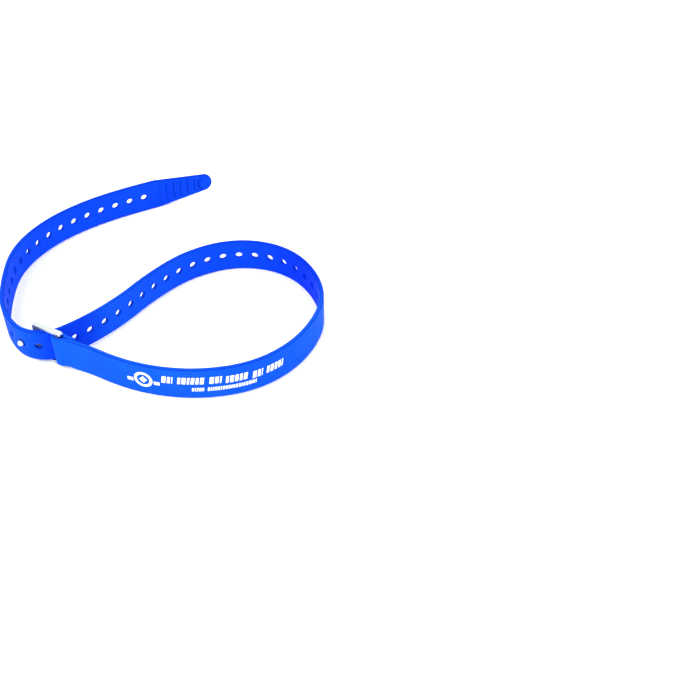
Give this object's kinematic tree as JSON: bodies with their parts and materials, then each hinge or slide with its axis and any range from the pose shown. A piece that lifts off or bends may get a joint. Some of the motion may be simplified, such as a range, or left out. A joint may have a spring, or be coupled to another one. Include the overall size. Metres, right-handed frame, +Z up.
{
  "type": "stretch strap",
  "caption": "Moulded stretch strap with a row of punched holes and a metal hook buckle, fastened through its buckle as a standing loop with a curled free tail.",
  "frame": {"origin": "on the floor, below the middle of the whole outline", "axes": "+Z up along the strap's width, -Y towards the printed front of the loop, +X towards the loop's closed end"},
  "size_m": [0.2324, 0.2458, 0.0309],
  "materials": {
    "strap": "satin, moulded polyurethane",
    "buckle": "matt blasted faces, polished edges",
    "print": "printed white ink"
  },
  "bodies": {
    "knot": {"end_loop": "strap", "lock_section": "strap"},
    "buckle": {"buckle_ring": "buckle", "buckle_tongue": "buckle"},
    "front_near": {"front_near": "strap", "print_near": "print"},
    "front_far": {"front_far": "strap", "print_far": "print"},
    "back_far": {"back_far": "strap"},
    "back_near": {"back_near": "strap"},
    "tail_1": {"tail_1": "strap"},
    "tail_2": {"tail_2": "strap"},
    "tail_3": {"tail_3": "strap"},
    "tail_4": {"tail_4": "strap"},
    "tail_5": {"tail_5": "strap"},
    "tail_6": {"tail_6": "strap", "pull_tip": "strap", "grip_ribs": "strap"}
  },
  "joints": [
    {"name": "buckle_swing", "type": "hinge", "parent": "knot", "child": "buckle", "pos_m": [-0.06131, -0.08855, 0.01543], "axis": [0.0108, 0.0133, 0.9999], "range_deg": [-1, 1]},
    {"name": "fold_front_near", "type": "hinge", "parent": "knot", "child": "front_near", "pos_m": [-0.04625, -0.09657, 0.01537], "axis": [0.0108, 0.0133, 0.9999], "range_deg": [-7, 12], "stiffness_Nm_per_rad": 0.3},
    {"name": "fold_front_middle", "type": "hinge", "parent": "front_near", "child": "front_far", "pos_m": [0.05775, -0.11746, 0.01453], "axis": [0.0108, 0.0133, 0.9999], "range_deg": [-24, 14]},
    {"name": "fold_right_end", "type": "hinge", "parent": "front_far", "child": "back_far", "pos_m": [0.11363, -0.03487, 0.01283], "axis": [0.0108, 0.0133, 0.9999], "range_deg": [-14, 24]},
    {"name": "fold_back_middle", "type": "hinge", "parent": "back_far", "child": "back_near", "pos_m": [0.00297, -0.00574, 0.01363], "axis": [0.0108, 0.0133, 0.9999], "range_deg": [-24, 14]},
    {"name": "tail_bend_1", "type": "hinge", "parent": "knot", "child": "tail_1", "pos_m": [-0.09286, -0.0775, 0.01562], "axis": [0.0108, 0.0133, 0.9999], "range_deg": [-6, 22], "stiffness_Nm_per_rad": 0.1},
    {"name": "tail_bend_2", "type": "hinge", "parent": "tail_1", "child": "tail_2", "pos_m": [-0.1097, -0.04552, 0.01538], "axis": [0.0108, 0.0133, 0.9999], "range_deg": [-6, 22], "stiffness_Nm_per_rad": 0.1},
    {"name": "tail_bend_3", "type": "hinge", "parent": "tail_2", "child": "tail_3", "pos_m": [-0.11444, -0.00927, 0.01494], "axis": [0.0108, 0.0133, 0.9999], "range_deg": [-6, 22], "stiffness_Nm_per_rad": 0.1},
    {"name": "tail_bend_4", "type": "hinge", "parent": "tail_3", "child": "tail_4", "pos_m": [-0.10778, 0.02638, 0.0144], "axis": [0.0108, 0.0133, 0.9999], "range_deg": [-6, 22], "stiffness_Nm_per_rad": 0.1},
    {"name": "tail_bend_5", "type": "hinge", "parent": "tail_4", "child": "tail_5", "pos_m": [-0.08753, 0.05664, 0.01378], "axis": [0.0108, 0.0133, 0.9999], "range_deg": [-6, 22], "stiffness_Nm_per_rad": 0.1},
    {"name": "tail_bend_6", "type": "hinge", "parent": "tail_5", "child": "tail_6", "pos_m": [-0.0595, 0.08005, 0.01316], "axis": [0.0108, 0.0133, 0.9999], "range_deg": [-6, 22], "stiffness_Nm_per_rad": 0.1}
  ],
  "couplings": [
    {"joint": "fold_front_middle", "follows": "fold_front_near", "ratio": -2},
    {"joint": "fold_right_end", "follows": "fold_front_near", "ratio": 2},
    {"joint": "fold_back_middle", "follows": "fold_front_near", "ratio": -2}
  ]
}
